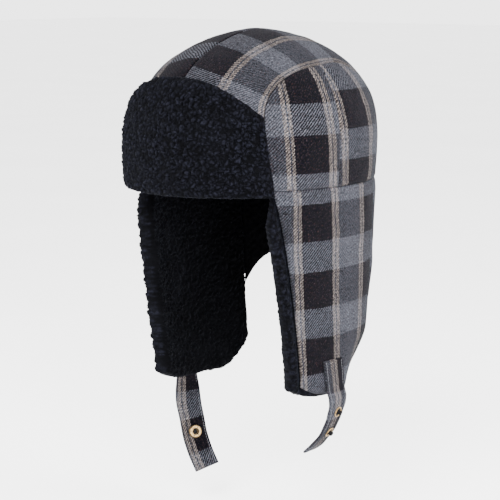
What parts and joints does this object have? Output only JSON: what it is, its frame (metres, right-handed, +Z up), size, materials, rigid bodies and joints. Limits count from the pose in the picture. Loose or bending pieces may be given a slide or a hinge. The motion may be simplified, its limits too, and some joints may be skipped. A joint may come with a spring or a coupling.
{
  "type": "trapper hat",
  "caption": "Padded trapper hat in woven plaid with a pile lining, a folded-up front visor, hanging ear flaps and snap straps.",
  "frame": {"origin": "centre of the head opening, in the plane of the brow seam", "axes": "+Z up through the crown, -Y towards the forehead and visor, +X towards the wearer's left ear"},
  "size_m": [0.1922, 0.2448, 0.4061],
  "materials": {
    "plaid": "coarse twill woven in a charcoal, grey and beige plaid",
    "strap_cloth": "the same twill, folded double and edge-stitched",
    "pile": "curly black pile",
    "wadding": "loose white wadding",
    "label": "plain woven tape",
    "snap_metal": "pale brass plating, worn at the edges"
  },
  "bodies": {
    "crown": {"crown_top_left": "plaid", "crown_top_right": "plaid", "crown_side_front_left": "plaid", "crown_side_front_right": "plaid", "crown_side_back_left": "plaid", "crown_side_back_right": "plaid", "wadding_top_left": "wadding", "wadding_top_right": "wadding", "wadding_side_left": "wadding", "wadding_side_right": "wadding", "lining_top_left": "pile", "lining_top_right": "pile", "lining_side_left": "pile", "lining_side_right": "pile", "nape_panel": "plaid", "nape_wadding": "wadding", "nape_lining": "pile", "care_label": "label"},
    "visor": {"visor_shell": "plaid", "visor_wadding": "wadding", "visor_pile": "pile"},
    "visor_wing_left": {"visor_shell_left": "plaid", "visor_wadding_left": "wadding", "visor_pile_left": "pile"},
    "visor_wing_right": {"visor_shell_right": "plaid", "visor_wadding_right": "wadding", "visor_pile_right": "pile"},
    "ear_flap_left": {"ear_flap_shell_left": "plaid", "ear_flap_wadding_left": "wadding", "ear_flap_lining_left": "pile", "strap_tab_left": "strap_cloth"},
    "ear_flap_right": {"ear_flap_shell_right": "plaid", "ear_flap_wadding_right": "wadding", "ear_flap_lining_right": "pile", "strap_tab_right": "strap_cloth"},
    "strap_left": {"strap_left": "strap_cloth", "stud_upper": "snap_metal", "stud_lower": "snap_metal", "stud_backs": "snap_metal"},
    "strap_right": {"strap_right": "strap_cloth", "snap_socket": "snap_metal", "socket_spring": "snap_metal", "socket_back": "snap_metal"}
  },
  "joints": [
    {"name": "visor_fold", "type": "hinge", "parent": "crown", "child": "visor", "pos_m": [0, -0.114, -0.003], "axis": [1, 0, 0], "range_deg": [0, 165]},
    {"name": "visor_wing_left_bend", "type": "hinge", "parent": "visor", "child": "visor_wing_left", "pos_m": [0.03652, -0.10713, 0.04309], "axis": [0.046, -0.1348, -0.9898], "range_deg": [0, 83]},
    {"name": "visor_wing_right_bend", "type": "hinge", "parent": "visor", "child": "visor_wing_right", "pos_m": [-0.03652, -0.10713, 0.04309], "axis": [0.046, 0.1348, 0.9898], "range_deg": [0, 83]},
    {"name": "ear_flap_left_fold", "type": "hinge", "parent": "crown", "child": "ear_flap_left", "pos_m": [0.0975, 0, -0.002], "axis": [0, -1, 0], "range_deg": [-5, 150]},
    {"name": "ear_flap_right_fold", "type": "hinge", "parent": "crown", "child": "ear_flap_right", "pos_m": [-0.0975, 0, -0.002], "axis": [0, 1, 0], "range_deg": [-5, 150]},
    {"name": "strap_left_swing", "type": "hinge", "parent": "ear_flap_left", "child": "strap_left", "pos_m": [0.0865, 0.003, -0.18], "axis": [0, -1, 0], "range_deg": [-40, 60]},
    {"name": "strap_right_swing", "type": "hinge", "parent": "ear_flap_right", "child": "strap_right", "pos_m": [-0.087, 0.003, -0.181], "axis": [0, 1, 0], "range_deg": [-40, 60]}
  ],
  "couplings": [
    {"joint": "visor_wing_left_bend", "follows": "visor_fold", "ratio": 0.5},
    {"joint": "visor_wing_right_bend", "follows": "visor_fold", "ratio": 0.5}
  ]
}
